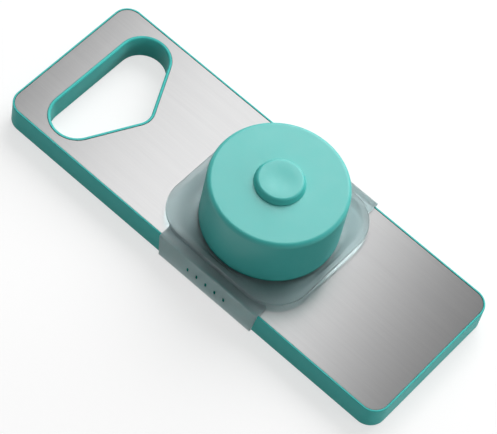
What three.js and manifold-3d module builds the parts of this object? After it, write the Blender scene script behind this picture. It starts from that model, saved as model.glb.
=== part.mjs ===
// A flat hand grater. A moulded board holds an inset steel sheet with a field of punched teeth.
// A carriage straddles the board and slides along it, and a round pusher presses food down the
// carriage's well onto the teeth. Millimetres, +Z up, the board's long axis along X with the
// hand hole at the -X end. The origin is the middle of the board's underside.

import * as THREE from 'three';
import { mergeGeometries, mergeVertices, toCreasedNormals } from 'three/addons/utils/BufferGeometryUtils.js';
import Module from 'manifold-3d';

const wasm = await Module();
wasm.setup();

// Driving dimensions
const boardLength = 275;
const boardWidth = 100;
const boardHeight = 17.8;
const boardCornerRadius = 10;
const handHoleDepth = 43.4;
const grateLength = 64;
const grateWidth = 58;
const gratePlace = 17;
const saddleLength = 71;
const capHeight = 37.4;

// Clearances
const seatGap = 0.3;
const runningGap = 0.35;
const toothPass = 0.3;
const overrun = 1;
const joinDepth = 0.4;

// Board moulding
const wallThickness = 2.4;
const rimWidth = 1;
const rimRound = 0.5;
const baseRound = 1.4;
const deckThickness = 2;
const ribThickness = 1.6;
const ribPitch = 26;
const ribLift = 1;
const crossRibLift = 3;
const handHoleInset = 19.3;
const handHoleSide = 7.9;
const handHoleCornerRadius = 14.4;
const handHoleApexRadius = 10;
const handHoleRound = 1;
const lipWidth = 2.2;
const sleeveWall = 2.4;
const chuteMargin = 5;
const chuteCornerRadius = 7;
const chuteWall = 2.4;

// Steel sheet and its teeth
const sheetThickness = 0.8;
const sheetRecess = 0.3;
const toothRadius = 2.7;
const toothHeight = 0.9;
const toothMetal = 0.4;
const toothPitchX = 8;
const toothPitchY = 8;

// Carriage: bands from the board's long edge in to the pusher, and its saddle
const stripWidth = 4.6;
const trayMargin = 2.6;
const traySideRamp = 2;
const trayEndRamp = 4.3;
const capMargin = 1.2;
const trayCornerRadius = 22.6;
const trayFloor = 1.5;
const trayDepth = 2.4;
const trayEdge = 1.6;
const trayEdgeRound = 0.5;
const trayOffset = -1.9;
const stripThickness = 1.2;
const stripReach = 3;
const flangeThickness = 1.3;
const flangeLift = 0.7;
const flangeTaper = 2;
const flangeCreaseRadius = 0.5;
const riserThickness = 1.6;
const gripSlotHeight = 3.4;
const gripSlotWidth = 1.3;
const gripSlotPitch = 6.6;
const gripSlotDrop = 9.7;
const gripSlotCount = 5;

// Well and pusher
const wellWall = 1.6;
const wellClearance = 1.2;
const wellTopGap = 2;
const capWall = 2.2;
const capRoof = 2.4;
const capDraft = 0.2;
const capTopRound = 2;
const capInnerRound = 1.5;
const capLipRound = 0.6;
const buttonRadius = 14.4;
const buttonHeight = 3.6;
const buttonDraft = 0.9;
const buttonRound = 0.9;
const buttonDish = 0.5;
const buttonLand = 2.2;
const recessRadius = 10;
const recessDepth = 1.1;
const socketWall = 1.8;
const socketDepth = 2;

// Food holder, its pins and its screw
const holderClearance = 0.6;
const holderDisc = 2.4;
const holderRingWall = 1.6;
const holderRingHeight = 4.4;
const holderRound = 0.6;
const stemRadius = 6;
const gussetThickness = 1.4;
const gussetCount = 6;
const gussetReach = 14;
const pinRadius = 0.9;
const pinDrop = 4;
const pinPoint = 2;
const pinSeat = 1.6;
const pinTipGap = 0.4;
const innerPinRing = 11.5;
const outerPinRing = 23.5;
const innerPinCount = 6;
const outerPinCount = 12;
const screwRadius = 1.75;
const screwLength = 14;
const screwHeadRadius = 4;
const screwHeadHeight = 2.1;
const screwHeadRound = 0.8;
const screwSlotWidth = 1;
const screwSlotDepth = 1;

// Facets
const arcSteps = 4;
const edgeSteps = 2;
const rayCount = 72;
const roundSides = 60;
const buttonSides = 48;
const smallSides = 24;
const pinSides = 6;
const toothSides = 8;
const toothRings = 4;

// Derived heights
const rimTop = boardHeight;
const sheetTop = rimTop - sheetRecess;
const deckTop = sheetTop - sheetThickness - seatGap;
const deckBottom = deckTop - deckThickness;
const toothTop = sheetTop + toothHeight;
const trayUnder = toothTop + toothPass;
const trayFloorTop = trayUnder + trayFloor;
const trayRimTop = trayFloorTop + trayDepth;
const trayRimUnder = trayRimTop - trayEdge;
const stripUnder = rimTop + seatGap;
const stripTop = stripUnder + stripThickness;
const capBottom = trayFloorTop + seatGap;
const capTop = capBottom + capHeight;
const roofUnder = capTop - capRoof;
const wellTop = roofUnder - wellTopGap;
const recessFloor = capTop - recessDepth;
const pinTip = toothTop + pinTipGap;
const discUnder = pinTip + pinDrop;
const discTop = discUnder + holderDisc;
const stemTop = roofUnder - seatGap;

// Derived widths
const halfLength = boardLength / 2;
const halfWidth = boardWidth / 2;
const handHoleHalfWidth = halfWidth - handHoleSide;
const trayHalfWidth = halfWidth - stripWidth;
const capRadius = trayHalfWidth - trayMargin - traySideRamp - capMargin;
const trayHalfLength = capRadius + capMargin + trayEndRamp + trayMargin;
const wellOuterRadius = capRadius - capWall - wellClearance;
const wellInnerRadius = wellOuterRadius - wellWall;
const discRadius = wellInnerRadius - holderClearance;
const flangeInner = halfWidth + runningGap;
const flangeOuter = flangeInner + flangeThickness;
const screwHoleRadius = screwRadius + seatGap;
const chuteHalfLength = grateLength / 2 + chuteMargin;
const chuteHalfWidth = grateWidth / 2 + chuteMargin;

// Solids and booleans

function signedVolume(positions, index) {
  const a = new THREE.Vector3();
  const b = new THREE.Vector3();
  const c = new THREE.Vector3();
  let sum = 0;
  for (let i = 0; i < index.length; i += 3) {
    a.fromArray(positions, 3 * index[i]);
    b.fromArray(positions, 3 * index[i + 1]);
    c.fromArray(positions, 3 * index[i + 2]);
    sum += a.dot(b.cross(c));
  }
  return sum;
}

function solidOf(geometry) {
  const bare = geometry.clone();
  bare.deleteAttribute('normal');
  bare.deleteAttribute('uv');
  const merged = mergeVertices(bare);
  const positions = merged.getAttribute('position').array;
  const kept = [];
  for (let i = 0; i < merged.index.count; i += 3) {
    const [a, b, c] = merged.index.array.slice(i, i + 3);
    if (a !== b && b !== c && c !== a) {
      kept.push(a, b, c);
    }
  }
  if (signedVolume(positions, kept) < 0) {
    kept.reverse();
  }
  const mesh = new wasm.Mesh({
    numProp: 3,
    vertProperties: new Float32Array(positions),
    triVerts: new Uint32Array(kept),
  });
  return new wasm.Manifold(mesh);
}

function geometryOf(solid) {
  const mesh = solid.getMesh();
  const geometry = new THREE.BufferGeometry();
  geometry.setAttribute('position', new THREE.BufferAttribute(new Float32Array(mesh.vertProperties), 3));
  geometry.setIndex(new THREE.BufferAttribute(new Uint32Array(mesh.triVerts), 1));
  return geometry;
}

function joined(first, ...others) {
  return others.reduce((sum, other) => sum.add(other), first);
}

function cut(first, ...others) {
  return others.reduce((rest, other) => rest.subtract(other), first);
}

// Outlines and simple shapes

function roundedRectangle(halfX, halfY, radius) {
  const shape = new THREE.Shape();
  const x = halfX - radius;
  const y = halfY - radius;
  shape.absarc(x, y, radius, 0, Math.PI / 2);
  shape.absarc(-x, y, radius, Math.PI / 2, Math.PI);
  shape.absarc(-x, -y, radius, Math.PI, 1.5 * Math.PI);
  shape.absarc(x, -y, radius, 1.5 * Math.PI, 2 * Math.PI);
  return shape;
}

// The hand hole is a wide blunt wedge: two round corners by the board's end and a round apex.
function handHole(grow) {
  const cornerX = -halfLength + handHoleInset + handHoleCornerRadius;
  const cornerY = handHoleHalfWidth - handHoleCornerRadius;
  const apexX = -halfLength + handHoleInset + handHoleDepth - handHoleApexRadius;
  const run = Math.hypot(apexX - cornerX, cornerY);
  const slope = Math.acos((handHoleCornerRadius - handHoleApexRadius) / run) - Math.atan2(cornerY, apexX - cornerX);
  const corner = handHoleCornerRadius + grow;
  const shape = new THREE.Shape();
  shape.absarc(cornerX, -cornerY, corner, Math.PI, 2 * Math.PI - slope);
  shape.absarc(apexX, 0, handHoleApexRadius + grow, -slope, slope);
  shape.absarc(cornerX, cornerY, corner, slope, Math.PI);
  return shape;
}

function boardOutline(inset) {
  return roundedRectangle(halfLength - inset, halfWidth - inset, boardCornerRadius - inset);
}

function chuteOutline(grow) {
  const outline = roundedRectangle(chuteHalfLength + grow, chuteHalfWidth + grow, chuteCornerRadius + grow);
  return outline;
}

function prism(shape, bottom, top) {
  const settings = { depth: top - bottom, bevelEnabled: false, curveSegments: arcSteps };
  return new THREE.ExtrudeGeometry(shape, settings).translate(0, 0, bottom);
}

function block(lengthX, lengthY, lengthZ, x, y, z) {
  return new THREE.BoxGeometry(lengthX, lengthY, lengthZ).translate(x, y, z);
}

function turned(points, sides) {
  return new THREE.LatheGeometry(points, sides).rotateX(Math.PI / 2);
}

function point(x, y) {
  return new THREE.Vector2(x, y);
}

// Points of a quarter round, from the first to the last angle about its centre
function quarterRound(x, y, radius, from, to) {
  const points = [];
  for (let i = 0; i <= edgeSteps; i++) {
    const angle = from + ((to - from) * i) / edgeSteps;
    points.push(point(x + radius * Math.cos(angle), y + radius * Math.sin(angle)));
  }
  return points;
}

// A closed skin over rings of equal count, capped flat at both ends
function loft(rings) {
  const count = rings[0].length;
  const positions = rings.flat().flatMap((p) => [p.x, p.y, p.z]);
  const index = [];
  for (let i = 0; i < rings.length - 1; i++) {
    for (let j = 0; j < count; j++) {
      const a = i * count + j;
      const b = i * count + ((j + 1) % count);
      index.push(a, b, b + count, a, b + count, a + count);
    }
  }
  const last = (rings.length - 1) * count;
  for (const [a, b, c] of THREE.ShapeUtils.triangulateShape(rings[0], [])) {
    index.push(c, b, a);
  }
  for (const [a, b, c] of THREE.ShapeUtils.triangulateShape(rings[rings.length - 1], [])) {
    index.push(last + a, last + b, last + c);
  }
  const geometry = new THREE.BufferGeometry();
  geometry.setAttribute('position', new THREE.Float32BufferAttribute(positions, 3));
  geometry.setIndex(index);
  return geometry;
}

function raised(points, z) {
  return points.map((p) => new THREE.Vector3(p.x, p.y, z));
}

// A block whose outline shrinks round its lower and upper edges
function roundedBlock(outlineAt, bottom, top, lowerRound, upperRound) {
  const rings = [];
  for (let i = 0; i <= edgeSteps; i++) {
    const angle = ((Math.PI / 2) * i) / edgeSteps;
    const inset = lowerRound * (1 - Math.sin(angle));
    rings.push(raised(outlineAt(inset).getPoints(arcSteps), bottom + lowerRound * (1 - Math.cos(angle))));
  }
  for (let i = edgeSteps; i >= 0; i--) {
    const angle = ((Math.PI / 2) * i) / edgeSteps;
    const inset = upperRound * (1 - Math.sin(angle));
    rings.push(raised(outlineAt(inset).getPoints(arcSteps), top - upperRound * (1 - Math.cos(angle))));
  }
  return loft(rings);
}

// A cutter for a hole right through, which flares to round the hole's lower and upper edges
function flaredCutter(outlineAt, bottom, top, round) {
  const rings = [raised(outlineAt(round).getPoints(arcSteps), bottom - overrun)];
  for (let i = 0; i <= edgeSteps; i++) {
    const angle = ((Math.PI / 2) * i) / edgeSteps;
    const grow = round * (1 - Math.sin(angle));
    rings.push(raised(outlineAt(grow).getPoints(arcSteps), bottom + round * (1 - Math.cos(angle))));
  }
  for (let i = edgeSteps; i >= 0; i--) {
    const angle = ((Math.PI / 2) * i) / edgeSteps;
    const grow = round * (1 - Math.sin(angle));
    rings.push(raised(outlineAt(grow).getPoints(arcSteps), top - round * (1 - Math.cos(angle))));
  }
  rings.push(raised(outlineAt(round).getPoints(arcSteps), top + overrun));
  return loft(rings);
}

// Board

// Ribs cross the open underside in both directions at about the rib pitch
function boardRibs() {
  const high = deckBottom + joinDepth;
  const depth = high - ribLift;
  const crossDepth = high - crossRibLift;
  const innerX = halfLength - wallThickness;
  const innerY = halfWidth - wallThickness;
  const ribs = [];
  const rows = Math.max(1, Math.round((2 * innerY) / ribPitch));
  for (let i = 1; i < rows; i++) {
    const y = -innerY + (2 * innerY * i) / rows;
    ribs.push(block(2 * innerX + wallThickness, ribThickness, depth, 0, y, high - depth / 2));
  }
  const chuteEnds = [gratePlace - chuteHalfLength - chuteWall, gratePlace + chuteHalfLength + chuteWall];
  for (const [start, end] of [[-innerX, chuteEnds[0]], [chuteEnds[1], innerX]]) {
    const columns = Math.max(1, Math.round((end - start) / ribPitch));
    for (let i = 1; i < columns; i++) {
      const x = start + ((end - start) * i) / columns;
      ribs.push(block(ribThickness, 2 * innerY + wallThickness, crossDepth, x, 0, high - crossDepth / 2));
    }
  }
  return ribs.map(solidOf);
}

function makeBody() {
  const shell = solidOf(roundedBlock(boardOutline, 0, rimTop, baseRound, rimRound));
  const sheetBed = solidOf(prism(boardOutline(rimWidth), deckTop, rimTop + overrun));
  const lip = solidOf(prism(handHole(lipWidth), deckTop - joinDepth, rimTop));
  const chuteAt = (grow) => prism(chuteOutline(grow), -overrun, rimTop + overrun).translate(gratePlace, 0, 0);
  const sleeve = solidOf(prism(handHole(sleeveWall), -2 * overrun, deckTop));
  let hollow = solidOf(prism(boardOutline(wallThickness), -overrun, deckBottom));
  hollow = cut(hollow, sleeve, solidOf(chuteAt(chuteWall)), ...boardRibs());
  const shellWithLip = joined(cut(shell, sheetBed), lip);
  const through = solidOf(flaredCutter(handHole, 0, rimTop, handHoleRound));
  return cut(shellWithLip, hollow, through, solidOf(chuteAt(0)));
}

// Steel sheet

// Rows of teeth fill the grating field, with every second row shifted by half a pitch
function toothPlaces() {
  const places = [];
  const rows = Math.floor((grateLength - 2 * toothRadius) / toothPitchX) + 1;
  const across = Math.floor((grateWidth - 2 * toothRadius) / toothPitchY) + 1;
  for (let i = 0; i < rows; i++) {
    const x = gratePlace + (i - (rows - 1) / 2) * toothPitchX;
    const count = across - (i % 2);
    for (let j = 0; j < count; j++) {
      places.push(point(x, (j - (count - 1) / 2) * toothPitchY));
    }
  }
  return places;
}

function atTeeth(geometry) {
  return solidOf(mergeGeometries(toothPlaces().map((p) => geometry.clone().translate(p.x, p.y, 0))));
}

function dome(radius, height) {
  return new THREE.SphereGeometry(1, toothSides, toothRings)
    .rotateX(Math.PI / 2)
    .scale(radius, radius, height)
    .translate(0, 0, sheetTop);
}

// Each tooth is a half dome raised from the sheet, open towards +X, over a round hole
function makeSheet() {
  const inset = rimWidth + seatGap;
  const sheet = solidOf(prism(boardOutline(inset), sheetTop - sheetThickness, sheetTop));
  const opening = prism(handHole(lipWidth + seatGap), sheetTop - sheetThickness - overrun, sheetTop + overrun);
  const half = block(
    toothRadius + overrun, 2 * (toothRadius + overrun), toothHeight + joinDepth + overrun,
    -(toothRadius + overrun) / 2, 0, sheetTop + (toothHeight - joinDepth + overrun) / 2,
  );
  const holeRadius = toothRadius - toothMetal;
  const hole = new THREE.CylinderGeometry(holeRadius, holeRadius, sheetThickness + overrun, toothSides)
    .rotateX(Math.PI / 2)
    .translate(0, 0, sheetTop - (sheetThickness + overrun) / 2);
  const hoods = atTeeth(dome(toothRadius, toothHeight)).intersect(atTeeth(half));
  const hollows = atTeeth(dome(holeRadius, toothHeight - toothMetal));
  return cut(joined(cut(sheet, solidOf(opening)), hoods), hollows, atTeeth(hole));
}

// Carriage, in the board's heights and centred on the well

function rayToTray(angle, inset) {
  const halfX = trayHalfLength + Math.sign(Math.cos(angle)) * trayOffset - inset;
  const halfY = trayHalfWidth - inset;
  const radius = Math.max(trayCornerRadius - inset, trayEdgeRound);
  const dx = Math.abs(Math.cos(angle));
  const dy = Math.abs(Math.sin(angle));
  const cornerX = halfX - radius;
  const cornerY = halfY - radius;
  if (halfX * dy <= cornerY * dx) {
    return halfX / dx;
  }
  if (halfY * dx <= cornerX * dy) {
    return halfY / dy;
  }
  const along = cornerX * dx + cornerY * dy;
  return along + Math.sqrt(along * along - cornerX * cornerX - cornerY * cornerY + radius * radius);
}

// A ring between a circle and the tray's outline: 0 is the circle, 1 the outline
function trayRing(radius, inset, share, z) {
  const ring = [];
  for (let i = 0; i < rayCount; i++) {
    const angle = (2 * Math.PI * i) / rayCount;
    const reach = THREE.MathUtils.lerp(radius, rayToTray(angle, inset), share);
    ring.push(new THREE.Vector3(reach * Math.cos(angle), reach * Math.sin(angle), z));
  }
  return ring;
}

// The tray is a shallow dish: a round flat floor about the well, a ramp and a flat margin
function makeTray() {
  const floorRadius = capRadius + capMargin;
  const rampShares = [0.3, 0.65];
  const riseShares = [0.22, 0.8];
  const rings = [
    trayRing(wellOuterRadius, 0, 0, trayUnder),
    trayRing(floorRadius, 0, 0, trayUnder),
    trayRing(floorRadius, trayMargin, 1, trayRimUnder),
    trayRing(floorRadius, trayEdgeRound, 1, trayRimUnder),
    trayRing(floorRadius, 0, 1, trayRimUnder + trayEdgeRound),
    trayRing(floorRadius, 0, 1, trayRimTop - trayEdgeRound),
    trayRing(floorRadius, trayEdgeRound, 1, trayRimTop),
    trayRing(floorRadius, trayMargin, 1, trayRimTop),
  ];
  for (let i = rampShares.length - 1; i >= 0; i--) {
    const z = THREE.MathUtils.lerp(trayFloorTop, trayRimTop, riseShares[i]);
    rings.push(trayRing(floorRadius, trayMargin, rampShares[i], z));
  }
  rings.push(trayRing(floorRadius, 0, 0, trayFloorTop));
  rings.push(trayRing(wellOuterRadius, 0, 0, trayFloorTop));
  return solidOf(loft(rings));
}

// One side of the saddle: a strip over the board's edge that turns down into the flange
function saddleProfile() {
  const inner = trayHalfWidth - stripReach;
  const shape = new THREE.Shape();
  shape.moveTo(inner, stripUnder);
  shape.lineTo(flangeInner, stripUnder);
  shape.lineTo(flangeInner, flangeLift);
  shape.lineTo(flangeOuter, flangeLift);
  shape.lineTo(flangeOuter, stripTop - flangeCreaseRadius);
  shape.absarc(flangeOuter - flangeCreaseRadius, stripTop - flangeCreaseRadius, flangeCreaseRadius, 0, Math.PI / 2);
  shape.lineTo(inner, stripTop);
  return shape;
}

// The saddle's side view, which narrows downwards
function saddleFace() {
  const half = saddleLength / 2;
  const shape = new THREE.Shape();
  shape.moveTo(-half + flangeTaper, flangeLift - overrun);
  shape.lineTo(half - flangeTaper, flangeLift - overrun);
  shape.lineTo(half, stripTop);
  shape.lineTo(half, trayRimTop + overrun);
  shape.lineTo(-half, trayRimTop + overrun);
  shape.lineTo(-half, stripTop);
  return shape;
}

function saddleLimits() {
  const reach = flangeOuter + overrun;
  const settings = { depth: 2 * reach, bevelEnabled: false, curveSegments: arcSteps };
  return solidOf(new THREE.ExtrudeGeometry(saddleFace(), settings).rotateX(Math.PI / 2).translate(0, reach, 0));
}

function makeSaddle() {
  const length = saddleLength + 2 * overrun;
  const settings = { depth: length, bevelEnabled: false, curveSegments: edgeSteps };
  const strip = new THREE.ExtrudeGeometry(saddleProfile(), settings)
    .rotateX(Math.PI / 2)
    .rotateZ(Math.PI / 2)
    .translate(-length / 2, 0, 0);
  const sides = [strip, strip.clone().rotateZ(Math.PI)].map(solidOf);
  const ringOuter = roundedRectangle(trayHalfLength, trayHalfWidth, trayCornerRadius);
  const ringInner = roundedRectangle(
    trayHalfLength - riserThickness, trayHalfWidth - riserThickness, trayCornerRadius - riserThickness,
  );
  const riser = cut(
    solidOf(prism(ringOuter, stripTop - joinDepth, trayRimUnder + joinDepth)),
    solidOf(prism(ringInner, stripUnder - overrun, trayRimTop + overrun)),
  );
  const endCut = roundedRectangle(trayHalfLength + overrun, trayHalfWidth - stripReach, riserThickness);
  const sideRiser = cut(riser, solidOf(prism(endCut, stripUnder - overrun, trayRimTop + overrun)));
  return joined(...sides, sideRiser.translate(trayOffset, 0, 0)).intersect(saddleLimits());
}

// Plain round-ended slots in a row along both flanges
function gripSlots() {
  const slot = roundedRectangle(gripSlotWidth / 2, gripSlotHeight / 2, gripSlotWidth / 2);
  const reach = flangeOuter + overrun;
  const settings = { depth: 2 * reach, bevelEnabled: false, curveSegments: edgeSteps };
  const bar = new THREE.ExtrudeGeometry(slot, settings)
    .rotateX(Math.PI / 2)
    .translate(0, reach, stripTop - gripSlotDrop);
  const bars = [];
  for (let i = 0; i < gripSlotCount; i++) {
    bars.push(bar.clone().translate((i - (gripSlotCount - 1) / 2) * gripSlotPitch, 0, 0));
  }
  return solidOf(mergeGeometries(bars));
}

function makeCarriage() {
  const wall = new THREE.CylinderGeometry(wellOuterRadius, wellOuterRadius, wellTop - trayUnder, roundSides)
    .rotateX(Math.PI / 2)
    .translate(0, 0, (wellTop + trayUnder) / 2);
  const boreLength = wellTop - trayUnder + 2 * overrun;
  const bore = new THREE.CylinderGeometry(wellInnerRadius, wellInnerRadius, boreLength, roundSides)
    .rotateX(Math.PI / 2)
    .translate(0, 0, (wellTop + trayUnder) / 2);
  return cut(joined(makeTray(), makeSaddle(), solidOf(wall)), solidOf(bore), gripSlots());
}

// Pusher, centred on the well's axis

function makeCap() {
  const innerTop = capRadius - capWall;
  const outerBottom = capRadius + capDraft;
  const innerBottom = outerBottom - capWall;
  const socketInner = stemRadius + seatGap;
  const points = [
    point(screwHoleRadius, roofUnder),
    point(socketInner, roofUnder),
    point(socketInner, roofUnder - socketDepth),
    point(socketInner + socketWall, roofUnder - socketDepth),
    point(socketInner + socketWall, roofUnder),
    ...quarterRound(innerTop - capInnerRound, roofUnder - capInnerRound, capInnerRound, Math.PI / 2, 0),
    point(innerBottom, capBottom),
    ...quarterRound(outerBottom - capLipRound, capBottom + capLipRound, capLipRound, -Math.PI / 2, 0),
    ...quarterRound(capRadius - capTopRound, capTop - capTopRound, capTopRound, 0, Math.PI / 2),
    point(recessRadius, capTop),
    point(recessRadius, recessFloor),
    point(screwHoleRadius, recessFloor),
    point(screwHoleRadius, roofUnder),
  ];
  return solidOf(turned(points, roundSides));
}

// The button's spigot seats in the cap's recess and its hollow clears the screw's head
function makeButton() {
  const spigotRadius = recessRadius - seatGap;
  const spigotUnder = recessFloor + seatGap;
  const skirtUnder = capTop + seatGap;
  const top = skirtUnder + buttonHeight;
  const hollowRadius = screwHeadRadius + seatGap;
  const hollowTop = recessFloor + seatGap + screwHeadHeight + seatGap;
  const topRadius = buttonRadius - buttonDraft;
  const dishRadius = topRadius - buttonLand;
  const points = [
    point(0, hollowTop),
    point(hollowRadius, hollowTop),
    point(hollowRadius, spigotUnder),
    point(spigotRadius, spigotUnder),
    point(spigotRadius, skirtUnder),
    point(buttonRadius, skirtUnder),
    ...quarterRound(topRadius - buttonRound, top - buttonRound, buttonRound, 0, Math.PI / 2),
    point(dishRadius, top),
    point(dishRadius / 2, top - (3 * buttonDish) / 4),
    point(0, top - buttonDish),
  ];
  return solidOf(turned(points, buttonSides));
}

function makeScrew() {
  const under = recessFloor + seatGap;
  const top = under + screwHeadHeight;
  const points = [
    point(0, under - screwLength),
    point(screwRadius, under - screwLength),
    point(screwRadius, under),
    point(screwHeadRadius, under),
    ...quarterRound(screwHeadRadius - screwHeadRound, top - screwHeadRound, screwHeadRound, 0, Math.PI / 2),
    point(0, top),
  ];
  const slot = block(screwHeadRadius, screwSlotWidth, screwSlotDepth + overrun, 0, 0, top - (screwSlotDepth - overrun) / 2);
  return cut(solidOf(turned(points, smallSides)), solidOf(slot), solidOf(slot.clone().rotateZ(Math.PI / 2)));
}

function pinPlaces() {
  const places = [];
  for (const [radius, count] of [[innerPinRing, innerPinCount], [outerPinRing, outerPinCount]]) {
    for (let i = 0; i < count; i++) {
      const angle = (2 * Math.PI * (i + 0.5)) / count;
      places.push(point(radius * Math.cos(angle), radius * Math.sin(angle)));
    }
  }
  return places;
}

function makePin() {
  const points = [
    point(0, pinTip),
    point(pinRadius, pinTip + pinPoint),
    point(pinRadius, discUnder + pinSeat - seatGap),
    point(0, discUnder + pinSeat - seatGap),
  ];
  return solidOf(turned(points, pinSides));
}

// A piston disc with a stiffening ring, gussets and the stem that the screw draws up to the cap
function makeHolder() {
  const ringTop = discUnder + holderRingHeight;
  const ringInner = discRadius - holderRingWall;
  const boreBottom = recessFloor - screwLength;
  const points = [
    point(0, discUnder),
    ...quarterRound(discRadius - holderRound, discUnder + holderRound, holderRound, -Math.PI / 2, 0),
    point(discRadius, ringTop),
    point(ringInner, ringTop),
    point(ringInner, discTop),
    point(stemRadius, discTop),
    point(stemRadius, stemTop),
    point(screwHoleRadius, stemTop),
    point(screwHoleRadius, boreBottom),
    point(0, boreBottom),
  ];
  const gusset = new THREE.Shape();
  gusset.moveTo(stemRadius - joinDepth, discTop - joinDepth);
  gusset.lineTo(ringInner + joinDepth, discTop - joinDepth);
  gusset.lineTo(ringInner + joinDepth, (discTop + ringTop) / 2);
  gusset.lineTo(stemRadius, ringTop + gussetReach);
  gusset.lineTo(stemRadius - joinDepth, ringTop + gussetReach);
  const settings = { depth: gussetThickness, bevelEnabled: false };
  const fin = new THREE.ExtrudeGeometry(gusset, settings).rotateX(Math.PI / 2).translate(0, gussetThickness / 2, 0);
  const fins = [];
  for (let i = 0; i < gussetCount; i++) {
    fins.push(solidOf(fin.clone().rotateZ((2 * Math.PI * i) / gussetCount)));
  }
  const seat = new THREE.CylinderGeometry(pinRadius + seatGap, pinRadius + seatGap, pinSeat + overrun, pinSides)
    .rotateX(Math.PI / 2)
    .rotateZ(Math.PI / 2)
    .translate(0, 0, discUnder + (pinSeat - overrun) / 2);
  const seats = mergeGeometries(pinPlaces().map((p) => seat.clone().translate(p.x, p.y, 0)));
  return cut(joined(solidOf(turned(points, roundSides)), ...fins), solidOf(seats));
}

// Materials

function plastic(color, roughness) {
  return new THREE.MeshStandardMaterial({ color, roughness, metalness: 0 });
}

function steel(roughness) {
  return new THREE.MeshStandardMaterial({ color: 0xc9cbcc, roughness, metalness: 1 });
}

const teal = 0x4fbdb0;
const frosted = plastic(0xd3dde0, 0.35);
frosted.transparent = true;
frosted.opacity = 0.85;

// Assembly

const creaseAngle = Math.PI / 6;

function piece(name, solid, material) {
  const mesh = new THREE.Mesh(toCreasedNormals(geometryOf(solid), creaseAngle), material);
  mesh.name = name;
  return mesh;
}

const pusher = new THREE.Group();
pusher.add(piece('pusher_cap', makeCap(), plastic(teal, 0.35)));
pusher.add(piece('cap_button', makeButton(), plastic(teal, 0.35)));
pusher.add(piece('holder_screw', makeScrew(), steel(0.3)));
pusher.add(piece('food_holder', makeHolder(), plastic(0xe4e9ea, 0.4)));
pinPlaces().forEach((place, i) => {
  const pin = piece('holder_pin_' + String(i + 1).padStart(2, '0'), makePin(), steel(0.25));
  pin.position.set(place.x, place.y, 0);
  pusher.add(pin);
});

const carriage = new THREE.Group();
carriage.position.x = gratePlace;
carriage.add(piece('carriage', makeCarriage(), frosted));
carriage.add(pusher);

const grater = new THREE.Group();
grater.add(piece('board_body', makeBody(), plastic(teal, 0.35)));
grater.add(piece('steel_sheet', makeSheet(), steel(0.3)));
grater.add(carriage);

export default grater;
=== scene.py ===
# Looks of the flat hand grater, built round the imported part. Sizes are in millimetres in the
# part's own frame, and each finished mesh is scaled to metres.

import math

import bmesh
import bpy
from mathutils import Matrix, Vector


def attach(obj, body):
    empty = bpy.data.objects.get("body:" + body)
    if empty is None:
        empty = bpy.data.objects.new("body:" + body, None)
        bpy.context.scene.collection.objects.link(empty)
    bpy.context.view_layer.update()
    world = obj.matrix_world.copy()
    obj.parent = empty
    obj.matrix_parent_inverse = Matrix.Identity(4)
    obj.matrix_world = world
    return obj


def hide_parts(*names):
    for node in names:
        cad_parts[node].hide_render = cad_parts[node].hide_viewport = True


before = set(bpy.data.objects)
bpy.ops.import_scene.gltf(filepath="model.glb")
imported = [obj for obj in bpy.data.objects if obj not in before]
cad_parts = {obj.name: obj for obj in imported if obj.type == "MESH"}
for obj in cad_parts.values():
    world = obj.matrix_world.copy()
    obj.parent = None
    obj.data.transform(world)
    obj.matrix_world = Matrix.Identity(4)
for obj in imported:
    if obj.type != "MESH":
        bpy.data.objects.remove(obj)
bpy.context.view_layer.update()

METRE = 0.001

# Board moulding and its sheet
BOARD_LENGTH, BOARD_WIDTH, BOARD_HEIGHT, BOARD_CORNER = 275, 100, 17.8, 10
WALL, RIM_WIDTH, RIM_ROUND, BASE_ROUND = 2.4, 1, 0.5, 1.4
DECK, RIB, RIB_PITCH, RIB_LIFT, CROSS_RIB_LIFT = 2, 1.6, 26, 1, 3
HOLE_INSET, HOLE_SIDE, HOLE_DEPTH = 19.3, 7.9, 43.4
HOLE_CORNER, HOLE_APEX, HOLE_ROUND = 14.4, 10, 1.2
LIP, SLEEVE = 1.7, 2.4
GRATE_LENGTH, GRATE_WIDTH, GRATE_PLACE = 64, 58, 17
CHUTE_MARGIN, CHUTE_CORNER, CHUTE_WALL = 5, 7, 2.4
SHEET, SHEET_RECESS = 0.8, 0.3
TOOTH_RADIUS, TOOTH_HEIGHT, TOOTH_METAL, TOOTH_PITCH = 2.7, 0.9, 0.4, 8

# Clearances, the overrun of cutters past a face and the overlap of joined bodies
SEAT_GAP, RUNNING_GAP, TOOTH_PASS = 0.3, 0.35, 0.3
OVERRUN, JOIN = 1, 0.4

# Carriage
STRIP_WIDTH, TRAY_MARGIN, SIDE_RAMP, END_RAMP, CAP_MARGIN = 4.6, 2.6, 2, 4.3, 1.2
TRAY_OFFSET, TRAY_CORNER, TRAY_FLOOR = -1.9, 22.6, 1.5
TRAY_DEPTH, TRAY_EDGE, TRAY_ROUND = 2.4, 1.6, 0.5
SADDLE_LENGTH, STRIP, STRIP_REACH, RISER = 71, 1.2, 3, 1.6
FLANGE, FLANGE_LIFT, FLANGE_TAPER = 1.3, 0.7, 2
FLANGE_CREASE, FLANGE_FOOT = 0.9, 0.4
SLOT_HEIGHT, SLOT_WIDTH, SLOT_PITCH, SLOT_DROP, SLOT_COUNT = 3.4, 1.3, 6.6, 9.7, 5
SLOT_END_FLAT = 0.001
WELL_WALL, WELL_CLEARANCE, WELL_TOP_GAP = 1.6, 1.2, 2

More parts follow.
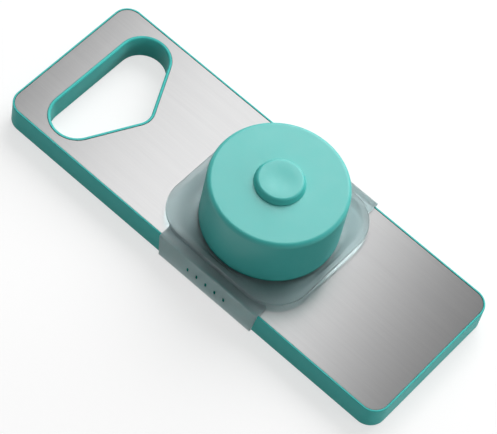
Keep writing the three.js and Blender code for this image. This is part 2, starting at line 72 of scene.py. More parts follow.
# Pusher
CAP_HEIGHT, CAP_WALL, CAP_ROOF, CAP_DRAFT = 37.4, 2.2, 2.4, 0.2
CAP_TOP_ROUND, CAP_INNER_ROUND, CAP_LIP_ROUND = 2.8, 1.5, 0.6
BUTTON_RADIUS, BUTTON_HEIGHT, BUTTON_DRAFT, BUTTON_ROUND = 14.4, 3.6, 0.9, 1.8
BUTTON_DISH, BUTTON_LAND, RECESS_RADIUS, RECESS_DEPTH = 0.5, 2.2, 10, 1.1
SOCKET_WALL, SOCKET_DEPTH, STEM_RADIUS, SCREW_RADIUS = 1.8, 2, 6, 1.75
SCREW_HEAD_RADIUS, SCREW_HEAD_HEIGHT = 4, 2.1

# Fineness: steps of arcs and rounded edges, sides of round bodies, and limits of the clean-up
ARC_STEPS, EDGE_STEPS, RAMP_STEPS = 18, 6, 10
RAYS, SIDES, TOOTH_SIDES, TOOTH_RINGS = 288, 240, 24, 8
WELD, ON_AXIS = 0.0001, 0.000001
BROKEN_EDGE, BROKEN_EDGE_STEPS = 0.15, 2
SHARP, FLAT = math.radians(32), math.radians(0.2)

# Heights and widths that follow
SHEET_TOP = BOARD_HEIGHT - SHEET_RECESS
SHEET_UNDER = SHEET_TOP - SHEET
DECK_TOP = SHEET_UNDER - SEAT_GAP
DECK_BOTTOM = DECK_TOP - DECK
TRAY_UNDER = SHEET_TOP + TOOTH_HEIGHT + TOOTH_PASS
TRAY_FLOOR_TOP = TRAY_UNDER + TRAY_FLOOR
TRAY_RIM_TOP = TRAY_FLOOR_TOP + TRAY_DEPTH
TRAY_RIM_UNDER = TRAY_RIM_TOP - TRAY_EDGE
STRIP_UNDER = BOARD_HEIGHT + SEAT_GAP
STRIP_TOP = STRIP_UNDER + STRIP
CAP_BOTTOM = TRAY_FLOOR_TOP + SEAT_GAP
CAP_TOP = CAP_BOTTOM + CAP_HEIGHT
ROOF_UNDER = CAP_TOP - CAP_ROOF
WELL_TOP = ROOF_UNDER - WELL_TOP_GAP
RECESS_FLOOR = CAP_TOP - RECESS_DEPTH
HALF_LENGTH, HALF_WIDTH = BOARD_LENGTH / 2, BOARD_WIDTH / 2
TRAY_HALF_WIDTH = HALF_WIDTH - STRIP_WIDTH
CAP_RADIUS = TRAY_HALF_WIDTH - TRAY_MARGIN - SIDE_RAMP - CAP_MARGIN
TRAY_HALF_LENGTH = CAP_RADIUS + CAP_MARGIN + END_RAMP + TRAY_MARGIN
WELL_OUTER = CAP_RADIUS - CAP_WALL - WELL_CLEARANCE
WELL_INNER = WELL_OUTER - WELL_WALL
FLANGE_INNER = HALF_WIDTH + RUNNING_GAP
FLANGE_OUTER = FLANGE_INNER + FLANGE
CHUTE_HALF_LENGTH = GRATE_LENGTH / 2 + CHUTE_MARGIN
CHUTE_HALF_WIDTH = GRATE_WIDTH / 2 + CHUTE_MARGIN


# Outlines

def arc(x, y, radius, start, end, steps=ARC_STEPS):
    turns = [start + (end - start) * i / steps for i in range(steps + 1)]
    return [(x + radius * math.cos(t), y + radius * math.sin(t)) for t in turns]


def edge_arc(x, y, radius, start, end):
    return arc(x, y, radius, start, end, EDGE_STEPS)


def rounded_rectangle(half_x, half_y, radius):
    quarter = math.pi / 2
    points = []
    for i, (sx, sy) in enumerate([(1, 1), (-1, 1), (-1, -1), (1, -1)]):
        x, y = sx * (half_x - radius), sy * (half_y - radius)
        points += arc(x, y, radius, i * quarter, (i + 1) * quarter)
    return points


def hand_hole(grow):
    """The hand hole's outline: two corners near the board's end and an apex towards its middle."""
    corner_x = -HALF_LENGTH + HOLE_INSET + HOLE_CORNER
    corner_y = HALF_WIDTH - HOLE_SIDE - HOLE_CORNER
    apex_x = -HALF_LENGTH + HOLE_INSET + HOLE_DEPTH - HOLE_APEX
    run = math.hypot(apex_x - corner_x, corner_y)
    slope = math.acos((HOLE_CORNER - HOLE_APEX) / run) - math.atan2(corner_y, apex_x - corner_x)
    points = arc(corner_x, -corner_y, HOLE_CORNER + grow, math.pi, 2 * math.pi - slope)
    points += arc(apex_x, 0, HOLE_APEX + grow, -slope, slope)
    points += arc(corner_x, corner_y, HOLE_CORNER + grow, slope, math.pi)
    return points


def board_outline(inset):
    return rounded_rectangle(HALF_LENGTH - inset, HALF_WIDTH - inset, BOARD_CORNER - inset)


def chute_outline(grow):
    points = rounded_rectangle(CHUTE_HALF_LENGTH + grow, CHUTE_HALF_WIDTH + grow, CHUTE_CORNER + grow)
    return [(x + GRATE_PLACE, y) for x, y in points]


# Solids

def object_of(name, verts, faces):
    """A linked object with doubled points merged and its faces turned outward."""
    mesh = bpy.data.meshes.new(name)
    mesh.from_pydata([tuple(v) for v in verts], [], faces)
    work = bmesh.new()
    work.from_mesh(mesh)
    bmesh.ops.remove_doubles(work, verts=work.verts, dist=WELD)
    bmesh.ops.recalc_face_normals(work, faces=work.faces)
    work.to_mesh(mesh)
    work.free()
    made = bpy.data.objects.new(name, mesh)
    bpy.context.scene.collection.objects.link(made)
    return made


def loft(rings):
    """A closed body through rings of equal length, with flat ends."""
    count = len(rings[0])
    verts = [p for ring in rings for p in ring]
    faces = []
    for i in range(len(rings) - 1):
        for j in range(count):
            a, b = i * count + j, i * count + (j + 1) % count
            faces.append((a, b, b + count, a + count))
    last = (len(rings) - 1) * count
    faces.append(tuple(range(count - 1, -1, -1)))
    faces.append(tuple(range(last, last + count)))
    return object_of("solid", verts, faces)


def raised(points, z):
    return [(x, y, z) for x, y in points]


def prism(points, bottom, top):
    return loft([raised(points, bottom), raised(points, top)])


def block(low, high):
    (x0, y0, z0), (x1, y1, z1) = low, high
    return prism([(x0, y0), (x1, y0), (x1, y1), (x0, y1)], z0, z1)


def edge_rings(ring_at, bottom, top, lower, upper):
    """Rings up a wall with rounded lower and upper edges, made from their inset and height."""
    turns = [math.pi / 2 * i / EDGE_STEPS for i in range(EDGE_STEPS + 1)]
    rings = []
    for a in turns:
        rings.append(ring_at(lower * (1 - math.sin(a)), bottom + lower * (1 - math.cos(a))))
    for a in reversed(turns):
        rings.append(ring_at(upper * (1 - math.sin(a)), top - upper * (1 - math.cos(a))))
    return rings


def rounded_block(outline_at, bottom, top, lower, upper):
    return loft(edge_rings(lambda inset, z: raised(outline_at(inset), z), bottom, top, lower, upper))


def flared_cutter(outline_at, bottom, top, radius):
    rings = edge_rings(lambda grow, z: raised(outline_at(grow), z), bottom, top, radius, radius)
    wide = outline_at(radius)
    return loft([raised(wide, bottom - OVERRUN), *rings, raised(wide, top + OVERRUN)])


def turned(profile, sides=SIDES, centre=(0, 0)):
    """A closed body of revolution about Z. A profile point on the axis becomes one vertex."""
    verts, rings, faces = [], [], []
    for r, z in profile:
        if r < ON_AXIS:
            rings.append([len(verts)])
            verts.append((centre[0], centre[1], z))
            continue
        rings.append(list(range(len(verts), len(verts) + sides)))
        for j in range(sides):
            a = 2 * math.pi * j / sides
            verts.append((centre[0] + r * math.cos(a), centre[1] + r * math.sin(a), z))
    pairs = list(zip(rings, rings[1:]))
    if len(rings[0]) > 1:
        pairs.append((rings[-1], rings[0]))
    for low, high in pairs:
        for j in range(sides):
            k = (j + 1) % sides
            if len(low) == 1:
                faces.append((low[0], high[k], high[j]))
            elif len(high) == 1:
                faces.append((low[j], low[k], high[0]))
            else:
                faces.append((low[j], low[k], high[k], high[j]))
    return object_of("solid", verts, faces)


def combine(first, others, operation):
    """Booleans of closed bodies; the other bodies are used up."""
    for other in others:
        step = first.modifiers.new("step", "BOOLEAN")
        step.operation = operation
        step.solver = "MANIFOLD"
        step.object = other
    bpy.context.view_layer.update()
    graph = bpy.context.evaluated_depsgraph_get()
    done = bpy.data.meshes.new_from_object(first.evaluated_get(graph))
    first.modifiers.clear()
    first.data = done
    for other in others:
        bpy.data.objects.remove(other)
    return first


def cut(first, *others):
    return combine(first, others, "DIFFERENCE")


def joined(first, *others):
    return combine(first, others, "UNION")


def common(first, *others):
    return combine(first, others, "INTERSECT")


def shifted(item, x):
    for v in item.data.vertices:
        v.co += Vector((x, 0, 0))
    return item


def many(item, places):
    """One mesh of separate copies of a body at the given places in X and Y."""
    verts, faces = [], []
    base = [v.co.copy() for v in item.data.vertices]
    sides = [tuple(p.vertices) for p in item.data.polygons]
    for x, y in places:
        start = len(verts)
        verts += [(v.x + x, v.y + y, v.z) for v in base]
        faces += [tuple(start + i for i in side) for side in sides]
    bpy.data.objects.remove(item)
    return object_of("solid", verts, faces)


def spaced(count, pitch):
    """Places in a row of a given pitch, centred on zero."""
    return [(i - (count - 1) / 2) * pitch for i in range(count)]


def piece(item, name, node, body, material, bevel=0.0):
    """Finishes a body as a scene piece: metres, smooth shading, broken edges, material and ride."""
    work = bmesh.new()
    work.from_mesh(item.data)
    bmesh.ops.dissolve_limit(work, angle_limit=FLAT, verts=work.verts, edges=work.edges)
    bmesh.ops.scale(work, vec=(METRE, METRE, METRE), verts=work.verts)
    work.to_mesh(item.data)
    work.free()
    item.name = name
    item.data.name = name
    item.data.materials.clear()
    item.data.materials.append(material)
    item.data.shade_smooth()
    item.data.set_sharp_from_angle(angle=SHARP)
    if bevel:
        edge = item.modifiers.new("broken edges", "BEVEL")
        edge.width = bevel * METRE
        edge.segments = BROKEN_EDGE_STEPS
        edge.limit_method = "ANGLE"
        edge.angle_limit = SHARP
        edge.harden_normals = True
    weighted = item.modifiers.new("flat faces", "WEIGHTED_NORMAL")
    weighted.keep_sharp = True
    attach(item, body)
    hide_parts(node)
    return item


# Shader nodes

def new_material(name):
    material = bpy.data.materials.new(name)
    material.use_nodes = True
    tree = material.node_tree
    shader = tree.nodes["Principled BSDF"]
    return material, tree, shader


def add(tree, kind, **settings):
    made = tree.nodes.new(kind)
    for key, value in settings.items():
        setattr(made, key, value)
    return made


def feed(tree, value, socket):
    """Links another node's output to a socket, or sets a number or colour on it."""
    if isinstance(value, bpy.types.NodeSocket):
        tree.links.new(value, socket)
    elif isinstance(value, tuple):
        socket.default_value = (*value, 1)
    else:
        socket.default_value = value


def maths(tree, operation, *values):
    made = add(tree, "ShaderNodeMath", operation=operation)
    for value, socket in zip(values, made.inputs):
        feed(tree, value, socket)
    return made.outputs[0]


def coordinates(tree, output):
    """X, Y and Z of a Texture Coordinate output."""
    coords = add(tree, "ShaderNodeTexCoord")
    axes = add(tree, "ShaderNodeSeparateXYZ")
    tree.links.new(coords.outputs[output], axes.inputs["Vector"])
    return axes.outputs["X"], axes.outputs["Y"], axes.outputs["Z"]


def noise(tree, scale, detail, rough=0.5, stretch=(1, 1, 1)):
    """Object-space noise, with scale in waves a metre and a stretch for each axis."""
    coords = add(tree, "ShaderNodeTexCoord")
    mapping = add(tree, "ShaderNodeMapping")
    mapping.inputs["Scale"].default_value = stretch
    tree.links.new(coords.outputs["Object"], mapping.inputs["Vector"])
    made = add(tree, "ShaderNodeTexNoise")
    made.inputs["Scale"].default_value = scale
    made.inputs["Detail"].default_value = detail
    made.inputs["Roughness"].default_value = rough
    tree.links.new(mapping.outputs["Vector"], made.inputs["Vector"])
    return made.outputs["Fac"]


def spread(tree, value, low, high, start=0.3, end=0.7):
    """Maps a value from start to end onto low to high."""
    made = add(tree, "ShaderNodeMapRange")
    made.inputs["From Min"].default_value = start
    made.inputs["From Max"].default_value = end
    made.inputs["To Min"].default_value = low
    made.inputs["To Max"].default_value = high
    tree.links.new(value, made.inputs["Value"])
    return made.outputs["Result"]


def tinted(tree, factor, first, second):
    """A mix of two colours, each plain or another node's output."""
    made = add(tree, "ShaderNodeMix", data_type="RGBA")
    factor_socket, first_socket, second_socket = made.inputs[0], made.inputs[6], made.inputs[7]
    feed(tree, factor, factor_socket)
    feed(tree, first, first_socket)
    feed(tree, second, second_socket)
    return made.outputs[2]


def bumped(tree, shader, height, distance, strength, under=None):
    """Fine relief on a shader, with its distance in metres, over the relief under it."""
    made = add(tree, "ShaderNodeBump")
    made.inputs["Strength"].default_value = strength
    made.inputs["Distance"].default_value = distance
    tree.links.new(height, made.inputs["Height"])
    if under is not None:
        tree.links.new(under, made.inputs["Normal"])
    tree.links.new(made.outputs["Normal"], shader.inputs["Normal"])
    return made.outputs["Normal"]


def seen_by(tree, *rays):
    """1 on any of the named kinds of ray, else 0."""
    path = add(tree, "ShaderNodeLightPath")
    seen = path.outputs[rays[0]]
    for ray in rays[1:]:
        seen = maths(tree, "MAXIMUM", seen, path.outputs[ray])
    return seen


# Materials

def moulded(name, dark, light, rough, shine=0.5, grain=1800):
    """Satin moulded plastic: soft colour drift, a fine spark-eroded grain and faint flow marks."""
    material, tree, shader = new_material(name)
    drift = spread(tree, noise(tree, scale=22, detail=4), 0, 1)
    feed(tree, tinted(tree, drift, dark, light), shader.inputs["Base Color"])
    wear = spread(tree, noise(tree, scale=160, detail=5, rough=0.6), *rough)
    feed(tree, wear, shader.inputs["Roughness"])
    fine = bumped(tree, shader, noise(tree, scale=grain, detail=2), distance=0.00002, strength=0.25)
    flow = noise(tree, scale=45, detail=2, rough=0.4, stretch=(1, 2.5, 1))
    bumped(tree, shader, flow, distance=0.00025, strength=0.12, under=fine)
    shader.inputs["Specular IOR Level"].default_value = shine
    return material


def brushed(name, dark, light, rough):
    """Brushed steel with its grain along X."""
    material, tree, shader = new_material(name)
    shader.inputs["Metallic"].default_value = 1
    shader.inputs["Anisotropic"].default_value = 0.4
    streaks = noise(tree, scale=3600, detail=4, rough=0.65, stretch=(0.012, 1, 1))
    broad = noise(tree, scale=420, detail=3, rough=0.6, stretch=(0.02, 1, 1))
    share = 0.65
    lines = maths(tree, "ADD", spread(tree, streaks, 0, share), spread(tree, broad, 0, 1 - share))
    feed(tree, tinted(tree, lines, dark, light), shader.inputs["Base Color"])
    feed(tree, spread(tree, streaks, *rough), shader.inputs["Roughness"])
    across = add(tree, "ShaderNodeCombineXYZ")
    across.inputs["Y"].default_value = 1
    to_world = add(
        tree, "ShaderNodeVectorTransform",
        vector_type="VECTOR", convert_from="OBJECT", convert_to="WORLD",
    )
    tree.links.new(across.outputs["Vector"], to_world.inputs["Vector"])
    tree.links.new(to_world.outputs["Vector"], shader.inputs["Tangent"])
    bumped(tree, shader, streaks, distance=0.00001, strength=0.15)
    return material


def inside_slots(tree):
    """1 on the cut faces inside the flange slots, a skin short of the flange's faces, else 0. It
    masks the painted shade on those faces.
    """
    skin, margin = 0.02, 0.1
    x, y, z = coordinates(tree, "Object")
    side = maths(tree, "ABSOLUTE", y)
    reach_x = (SLOT_COUNT - 1) / 2 * SLOT_PITCH + SLOT_WIDTH
    reach_y = FLANGE / 2 - skin
    reach_z = SLOT_HEIGHT / 2 + margin
    along = maths(tree, "COMPARE", x, GRATE_PLACE * METRE, reach_x * METRE)
    depth = maths(tree, "COMPARE", side, (FLANGE_INNER + FLANGE / 2) * METRE, reach_y * METRE)
    height = maths(tree, "COMPARE", z, (STRIP_TOP - SLOT_DROP) * METRE, reach_z * METRE)
    return maths(tree, "MULTIPLY", maths(tree, "MULTIPLY", along, depth), height)


def frosted(name, dark, light, painted_slot_shade, rough, clear):
    """Frosted translucent plastic with a grained surface, and painted shade on the slots' cut faces,
    which are opaque dark teal.
    """
    material, tree, shader = new_material(name)
    # Painted shade: the slots' cut faces take an opaque dark teal with no transmission, so the slots
    # read as dark shaded marks.
    painted_slot_shade_mask = inside_slots(tree)
    body = tinted(tree, spread(tree, noise(tree, scale=30, detail=3), 0, 1), dark, light)
    feed(tree, tinted(tree, painted_slot_shade_mask, body, painted_slot_shade), shader.inputs["Base Color"])
    frost = spread(tree, noise(tree, scale=240, detail=4, rough=0.6), *rough)
    feed(tree, frost, shader.inputs["Roughness"])
    feed(tree, spread(tree, painted_slot_shade_mask, clear, 0, start=0, end=1), shader.inputs["Transmission Weight"])
    shader.inputs["Specular IOR Level"].default_value = 0.12
    shader.inputs["IOR"].default_value = 1.46
    bumped(tree, shader, noise(tree, scale=2200, detail=2), distance=0.00002, strength=0.3)
    return material


def plain_steel(name, base, rough):
    """Turned steel with faint rings about Z."""
    material, tree, shader = new_material(name)
    shader.inputs["Metallic"].default_value = 1
    rings = noise(tree, scale=900, detail=4, rough=0.6, stretch=(1, 1, 6))
    shade = 0.85
    darker = tuple(shade * c for c in base)
    feed(tree, tinted(tree, spread(tree, rings, 0, 1), darker, base), shader.inputs["Base Color"])
    feed(tree, spread(tree, rings, *rough), shader.inputs["Roughness"])
    bumped(tree, shader, rings, distance=0.00002, strength=0.2)
    return material


teal_board = moulded(
    "teal board", (0.058, 0.505, 0.468), (0.068, 0.530, 0.493), rough=(0.44, 0.52), shine=0.15
)
teal_cap = moulded(
    "teal cap", (0.052, 0.452, 0.417), (0.062, 0.477, 0.442),
    rough=(0.38, 0.45), shine=0.6, grain=2400,
)
sheet_steel = brushed(
    "brushed sheet", (0.645, 0.645, 0.65), (0.715, 0.715, 0.715), rough=(0.30, 0.34)
)
# The carriage's slot colour is painted shade on the slots' cut faces.
carriage_plastic = frosted(
    "frosted carriage", (0.52, 0.62, 0.63), (0.57, 0.67, 0.68),
    painted_slot_shade=(0.05, 0.42, 0.38), rough=(0.40, 0.50), clear=0.84,
)
white_plastic = moulded("white holder", (0.76, 0.79, 0.79), (0.83, 0.85, 0.85), rough=(0.35, 0.45))
pin_steel = plain_steel("pin steel", (0.72, 0.73, 0.74), rough=(0.2, 0.32))


# Board

def rib_places(start, end):
    """Where ribs part the way from start to end evenly, about the rib pitch from each other."""
    count = round((end - start) / RIB_PITCH)
    return [start + (end - start) * i / count for i in range(1, count)]


def board_ribs():
    high = DECK_BOTTOM + JOIN
    inner_x, inner_y = HALF_LENGTH - WALL, HALF_WIDTH - WALL
    end_x, end_y = inner_x + WALL / 2, inner_y + WALL / 2
    ribs = []
    for y in rib_places(-inner_y, inner_y):
        ribs.append(block((-end_x, y - RIB / 2, RIB_LIFT), (end_x, y + RIB / 2, high)))
    chute_start = GRATE_PLACE - CHUTE_HALF_LENGTH - CHUTE_WALL
    chute_end = GRATE_PLACE + CHUTE_HALF_LENGTH + CHUTE_WALL
    for x in rib_places(-inner_x, chute_start) + rib_places(chute_end, inner_x):
        ribs.append(block((x - RIB / 2, -end_y, CROSS_RIB_LIFT), (x + RIB / 2, end_y, high)))
    return ribs


def make_board():
    shell = rounded_block(board_outline, 0, BOARD_HEIGHT, BASE_ROUND, RIM_ROUND)
    bed = prism(board_outline(RIM_WIDTH), DECK_TOP, BOARD_HEIGHT + OVERRUN)
    lip = prism(hand_hole(LIP), DECK_TOP - JOIN, BOARD_HEIGHT)
    sleeve = prism(hand_hole(SLEEVE), -2 * OVERRUN, DECK_TOP)
    hollow = prism(board_outline(WALL), -OVERRUN, DECK_BOTTOM)
    chute_wall = prism(chute_outline(CHUTE_WALL), -2 * OVERRUN, DECK_TOP)
    hollow = cut(hollow, sleeve, chute_wall, *board_ribs())
    shell = joined(cut(shell, bed), lip)
    through = flared_cutter(hand_hole, 0, BOARD_HEIGHT, HOLE_ROUND)
    chute = prism(chute_outline(0), -OVERRUN, BOARD_HEIGHT + OVERRUN)
    return cut(shell, hollow, through, chute)


# Steel sheet

def tooth_places():
    rows = math.floor((GRATE_LENGTH - 2 * TOOTH_RADIUS) / TOOTH_PITCH) + 1
    across = math.floor((GRATE_WIDTH - 2 * TOOTH_RADIUS) / TOOTH_PITCH) + 1
    places = []
    for i, x in enumerate(spaced(rows, TOOTH_PITCH)):
        places += [(GRATE_PLACE + x, y) for y in spaced(across - i % 2, TOOTH_PITCH)]
    return places


def dome(radius, height):
    """A flattened ball, half above the sheet's top and half below it."""
    turns = [math.pi * i / (2 * TOOTH_RINGS) for i in range(2 * TOOTH_RINGS + 1)]
    profile = [(radius * math.sin(a), SHEET_TOP - height * math.cos(a)) for a in turns]
    return turned(profile, TOOTH_SIDES)


def make_sheet():
    places = tooth_places()
    hole_low = SHEET_UNDER - OVERRUN
    plate = prism(board_outline(RIM_WIDTH + SEAT_GAP), SHEET_UNDER, SHEET_TOP)
    opening = prism(hand_hole(LIP + SEAT_GAP), hole_low, SHEET_TOP + OVERRUN)
    reach = TOOTH_RADIUS + OVERRUN
    half = block((-reach, -reach, SHEET_TOP - JOIN), (0, reach, SHEET_TOP + TOOTH_HEIGHT + OVERRUN))
    hole_radius, hollow_height = TOOTH_RADIUS - TOOTH_METAL, TOOTH_HEIGHT - TOOTH_METAL
    hood = cut(common(dome(TOOTH_RADIUS, TOOTH_HEIGHT), half), dome(hole_radius, hollow_height))
    bore = [(0, hole_low), (hole_radius, hole_low), (hole_radius, SHEET_TOP), (0, SHEET_TOP)]
    hole = turned(bore, TOOTH_SIDES)
    hollow = dome(hole_radius, hollow_height)
    plate = joined(cut(plate, opening), many(hood, places))
    return cut(plate, many(hollow, places), many(hole, places))


# Carriage

def ray_to_tray(angle, inset):
    """The distance from the cap's axis to the tray's rounded square, less the inset."""
    half_x = TRAY_HALF_LENGTH + math.copysign(1, math.cos(angle)) * TRAY_OFFSET - inset
    half_y = TRAY_HALF_WIDTH - inset
    radius = TRAY_CORNER - inset
    dx, dy = abs(math.cos(angle)), abs(math.sin(angle))
    corner_x, corner_y = half_x - radius, half_y - radius
    if half_x * dy <= corner_y * dx:
        return half_x / dx
    if half_y * dx <= corner_x * dy:
        return half_y / dy
    along = corner_x * dx + corner_y * dy
    return along + math.sqrt(along ** 2 - corner_x ** 2 - corner_y ** 2 + radius ** 2)


def tray_ring(radius, inset, share, z):
    """A ring that goes from a circle to the tray's rounded square by a share."""
    ring = []
    for i in range(RAYS):
        angle = 2 * math.pi * i / RAYS
        reach = radius + (ray_to_tray(angle, inset) - radius) * share
        ring.append((reach * math.cos(angle), reach * math.sin(angle), z))
    return ring


def make_tray():
    floor_radius = CAP_RADIUS + CAP_MARGIN

    def rim_ring(inset, z):
        return tray_ring(floor_radius, inset, 1, z)

    rings = [
        tray_ring(WELL_OUTER, 0, 0, TRAY_UNDER),
        tray_ring(floor_radius, 0, 0, TRAY_UNDER),
        rim_ring(TRAY_MARGIN, TRAY_RIM_UNDER),
        *edge_rings(rim_ring, TRAY_RIM_UNDER, TRAY_RIM_TOP, TRAY_ROUND, TRAY_ROUND),
    ]
    for i in range(RAMP_STEPS, 0, -1):
        t = i / RAMP_STEPS
        rise = t * t * (3 - 2 * t)
        z = TRAY_FLOOR_TOP + (TRAY_RIM_TOP - TRAY_FLOOR_TOP) * rise
        rings.append(tray_ring(floor_radius, TRAY_MARGIN, t, z))
    rings.append(tray_ring(floor_radius, 0, 0, TRAY_FLOOR_TOP))
    rings.append(tray_ring(WELL_OUTER, 0, 0, TRAY_FLOOR_TOP))
    return loft(rings)


def side_of_saddle(sign):
    inner = TRAY_HALF_WIDTH - STRIP_REACH
    foot, crease = FLANGE_FOOT, FLANGE_CREASE
    low = FLANGE_LIFT + foot
    profile = [
        (inner, STRIP_UNDER), (FLANGE_INNER, STRIP_UNDER),
        *edge_arc(FLANGE_INNER + foot, low, foot, math.pi, 1.5 * math.pi),
        *edge_arc(FLANGE_OUTER - foot, low, foot, 1.5 * math.pi, 2 * math.pi),
        *edge_arc(FLANGE_OUTER - crease, STRIP_TOP - crease, crease, 0, math.pi / 2),
        (inner, STRIP_TOP),
    ]
    reach = SADDLE_LENGTH / 2 + OVERRUN
    return loft([[(x, sign * y, z) for y, z in profile] for x in (-reach, reach)])


def make_saddle():
    sides = [side_of_saddle(1), side_of_saddle(-1)]
    outer = rounded_rectangle(TRAY_HALF_LENGTH, TRAY_HALF_WIDTH, TRAY_CORNER)
    inner = rounded_rectangle(TRAY_HALF_LENGTH - RISER, TRAY_HALF_WIDTH - RISER, TRAY_CORNER - RISER)
    ends = rounded_rectangle(TRAY_HALF_LENGTH + OVERRUN, TRAY_HALF_WIDTH - STRIP_REACH, RISER)
    riser = cut(
        prism(outer, STRIP_TOP - JOIN, TRAY_RIM_UNDER + JOIN),
        prism(inner, STRIP_UNDER - OVERRUN, TRAY_RIM_TOP + OVERRUN),
        prism(ends, STRIP_UNDER - OVERRUN, TRAY_RIM_TOP + OVERRUN),
    )
    half, reach = SADDLE_LENGTH / 2, FLANGE_OUTER + OVERRUN
    foot, low, high = half - FLANGE_TAPER, FLANGE_LIFT - OVERRUN, TRAY_RIM_TOP + OVERRUN
    face = [
        (-foot, low), (foot, low),
        (half, STRIP_TOP), (half, high), (-half, high), (-half, STRIP_TOP),
    ]
    limits = loft([[(x, y, z) for x, z in face] for y in (reach, -reach)])
    return common(joined(*sides, shifted(riser, TRAY_OFFSET)), limits)


def grip_slots():
    slot = rounded_rectangle(SLOT_WIDTH / 2, SLOT_HEIGHT / 2, SLOT_WIDTH / 2 - SLOT_END_FLAT)
    reach = FLANGE_OUTER + OVERRUN
    middle = STRIP_TOP - SLOT_DROP
    bar = loft([[(x, y, middle + h) for x, h in slot] for y in (reach, -reach)])
    return many(bar, [(x, 0) for x in spaced(SLOT_COUNT, SLOT_PITCH)])


def make_carriage():
    edge = TRAY_ROUND
    wall = turned([
        (WELL_INNER, TRAY_UNDER), (WELL_OUTER, TRAY_UNDER), (WELL_OUTER, WELL_TOP - edge),
        *edge_arc(WELL_OUTER - edge, WELL_TOP - edge, edge, 0, math.pi / 2),
        *edge_arc(WELL_INNER + edge, WELL_TOP - edge, edge, math.pi / 2, math.pi),
    ])
    bore = turned([(0, 0), (WELL_INNER, 0), (WELL_INNER, CAP_TOP), (0, CAP_TOP)])
    whole = joined(make_tray(), make_saddle(), wall)
    return shifted(cut(whole, bore, grip_slots()), GRATE_PLACE)


# Pusher

def make_cap():
    screw_hole = SCREW_RADIUS + SEAT_GAP
    socket = STEM_RADIUS + SEAT_GAP
    socket_end = ROOF_UNDER - SOCKET_DEPTH
    inner_top = CAP_RADIUS - CAP_WALL
    outer_bottom = CAP_RADIUS + CAP_DRAFT
    inner_round, lip_round, top_round = CAP_INNER_ROUND, CAP_LIP_ROUND, CAP_TOP_ROUND
    steps = 2 * EDGE_STEPS
    top_arc = arc(CAP_RADIUS - top_round, CAP_TOP - top_round, top_round, 0, math.pi / 2, steps)
    profile = [
        (screw_hole, ROOF_UNDER), (socket, ROOF_UNDER), (socket, socket_end),
        (socket + SOCKET_WALL, socket_end), (socket + SOCKET_WALL, ROOF_UNDER),
        *edge_arc(inner_top - inner_round, ROOF_UNDER - inner_round, inner_round, math.pi / 2, 0),
        (outer_bottom - CAP_WALL, CAP_BOTTOM),
        *edge_arc(outer_bottom - lip_round, CAP_BOTTOM + lip_round, lip_round, -math.pi / 2, 0),
        *top_arc,
        (RECESS_RADIUS, CAP_TOP), (RECESS_RADIUS, RECESS_FLOOR), (screw_hole, RECESS_FLOOR),
    ]
    return turned(profile, centre=(GRATE_PLACE, 0))


def make_button():
    spigot, spigot_under = RECESS_RADIUS - SEAT_GAP, RECESS_FLOOR + SEAT_GAP
    under = CAP_TOP + SEAT_GAP
    top = under + BUTTON_HEIGHT
    hollow = SCREW_HEAD_RADIUS + SEAT_GAP
    hollow_top = RECESS_FLOOR + SEAT_GAP + SCREW_HEAD_HEIGHT + SEAT_GAP
    top_radius = BUTTON_RADIUS - BUTTON_DRAFT
    dish = top_radius - BUTTON_LAND
    steps = 2 * EDGE_STEPS
    bowl = []
    for i in range(steps + 1):
        sink = BUTTON_DISH * math.sin(math.pi / 2 * i / steps) ** 2
        bowl.append((dish * (1 - i / steps), top - sink))
    profile = [
        (0, hollow_top), (hollow, hollow_top), (hollow, spigot_under), (spigot, spigot_under),
        (spigot, under), (BUTTON_RADIUS, under),
        *edge_arc(top_radius - BUTTON_ROUND, top - BUTTON_ROUND, BUTTON_ROUND, 0, math.pi / 2),
        *bowl,
    ]
    return turned(profile, centre=(GRATE_PLACE, 0))


piece(make_board(), "board_moulding", "board_body", "board", teal_board, BROKEN_EDGE)
sheet = piece(make_sheet(), "grating_sheet", "steel_sheet", "board", sheet_steel)
piece(
    make_carriage(), "frosted_carriage", "carriage", "slider", carriage_plastic,
    BROKEN_EDGE,
)
piece(make_cap(), "cap_moulding", "pusher_cap", "cap", teal_cap)
piece(make_button(), "button_moulding", "cap_button", "cap", teal_cap)

# The holder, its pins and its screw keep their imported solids

for name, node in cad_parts.items():
    if node.hide_render:
        continue
    node.data.materials.clear()
    node.data.materials.append(white_plastic if name == "food_holder" else pin_steel)


# Floor: white to the camera and in mirrored and transmitted rays, dull in the lamps' light

FLOOR_REACH, FLOOR_TONE, FLOOR_GLOW = 6.0, 0.34, 0.67


def pale_floor():
    reach = FLOOR_REACH
    corners = [(-reach, -reach, 0), (reach, -reach, 0), (reach, reach, 0), (-reach, reach, 0)]
    floor = object_of("floor", corners, [(0, 1, 2, 3)])
    material, tree, shader = new_material("pale floor")
    shader.inputs["Base Color"].default_value = (FLOOR_TONE, FLOOR_TONE, FLOOR_TONE, 1)
    shader.inputs["Roughness"].default_value = 0.9
    shader.inputs["Specular IOR Level"].default_value = 0.0
    seen = seen_by(tree, "Is Camera Ray", "Is Transmission Ray", "Is Glossy Ray")
    glow = add(tree, "ShaderNodeEmission")
    feed(tree, maths(tree, "MULTIPLY", seen, FLOOR_GLOW), glow.inputs["Strength"])
    both = add(tree, "ShaderNodeAddShader")
    tree.links.new(shader.outputs[0], both.inputs[0])
    tree.links.new(glow.outputs[0], both.inputs[1])
    tree.links.new(both.outputs[0], tree.nodes["Material Output"].inputs["Surface"])
    floor.data.materials.append(material)


pale_floor()

# World: white to the camera, and low down to mirrored and transmitted rays. It is dim overhead and
# as light on the object.

AMBIENT, HORIZON_EXTRA = 0.12, 0.88
FADE_START, FADE_END = 0.35, 0.62

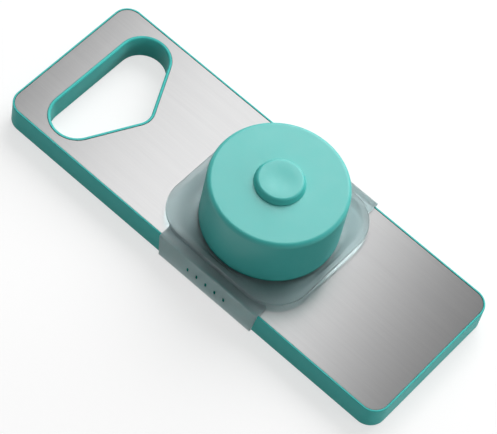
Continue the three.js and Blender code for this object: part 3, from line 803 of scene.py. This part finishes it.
world = bpy.data.worlds.new("studio")
bpy.context.scene.world = world
world.use_nodes = True
sky = world.node_tree
background = sky.nodes["Background"]
background.inputs["Color"].default_value = (1, 1, 1, 1)
gaze_height = coordinates(sky, "Generated")[2]
horizon = spread(sky, gaze_height, HORIZON_EXTRA, 0.0, start=FADE_START, end=FADE_END)
passed_on = seen_by(sky, "Is Glossy Ray", "Is Transmission Ray")
mirrored = maths(sky, "MULTIPLY_ADD", passed_on, horizon, AMBIENT)
level = maths(sky, "MAXIMUM", seen_by(sky, "Is Camera Ray"), mirrored)
feed(sky, level, background.inputs["Strength"])


# Lamps

def softbox(name, place, aim, width, height, watts, along=(0, 0, 1)):
    """A rectangular lamp that faces its aim, with its height along the given direction."""
    lamp = bpy.data.lights.new(name, "AREA")
    lamp.shape = "RECTANGLE"
    lamp.size, lamp.size_y = width, height
    lamp.energy = watts
    made = bpy.data.objects.new(name, lamp)
    bpy.context.scene.collection.objects.link(made)
    back = (Vector(place) - Vector(aim)).normalized()
    side = Vector(along).cross(back).normalized()
    turn = Matrix((side, back.cross(side), back)).transposed().to_quaternion()
    made.matrix_world = Matrix.LocRotScale(Vector(place), turn, None)
    return made


MIDDLE = (0.0, 0.0, 0.03)
softbox(
    "strip above", (-0.211, 0.33, 0.62), (-0.211, 0.33, 0),
    width=0.31, height=0.90, watts=1.14, along=(-0.22, 1, 0),
)
key = softbox("key behind", (-0.25, 1.42, 1.18), MIDDLE, width=1.8, height=1.8, watts=48)
right = softbox("fill right", (1.35, 0.5, 0.45), MIDDLE, width=0.6, height=0.4, watts=5.0)
front = softbox("fill front", (0.1, -1.5, 0.10), MIDDLE, width=1.2, height=0.2, watts=3.1)

# The fill lamps leave no mirror images

for lamp in (right, front):
    lamp.visible_glossy = False

# The key lamp's mirror image shows in the plastics and not in the brushed sheet

past_key = bpy.data.collections.new("not lit by the key")
past_key.objects.link(sheet)
past_key.collection_objects[0].light_linking.link_state = "EXCLUDE"
key.light_linking.receiver_collection = past_key

# Camera at the photograph's angle

CAMERA_PLACE, CAMERA_TURN = (0.34816, -0.61258, 1.15241), (30.6838, -7.4608, 41.7041)
SENSOR, LENS = 36, 175.0
NEAREST, FARTHEST = 0.05, 50

camera_data = bpy.data.cameras.new("camera")
camera = bpy.data.objects.new("camera", camera_data)
bpy.context.scene.collection.objects.link(camera)
camera_data.sensor_width = SENSOR
camera_data.lens = LENS
camera_data.clip_start, camera_data.clip_end = NEAREST, FARTHEST
camera.location = CAMERA_PLACE
camera.rotation_euler = tuple(math.radians(a) for a in CAMERA_TURN)
bpy.context.scene.camera = camera
bpy.context.scene.view_settings.view_transform = "Standard"
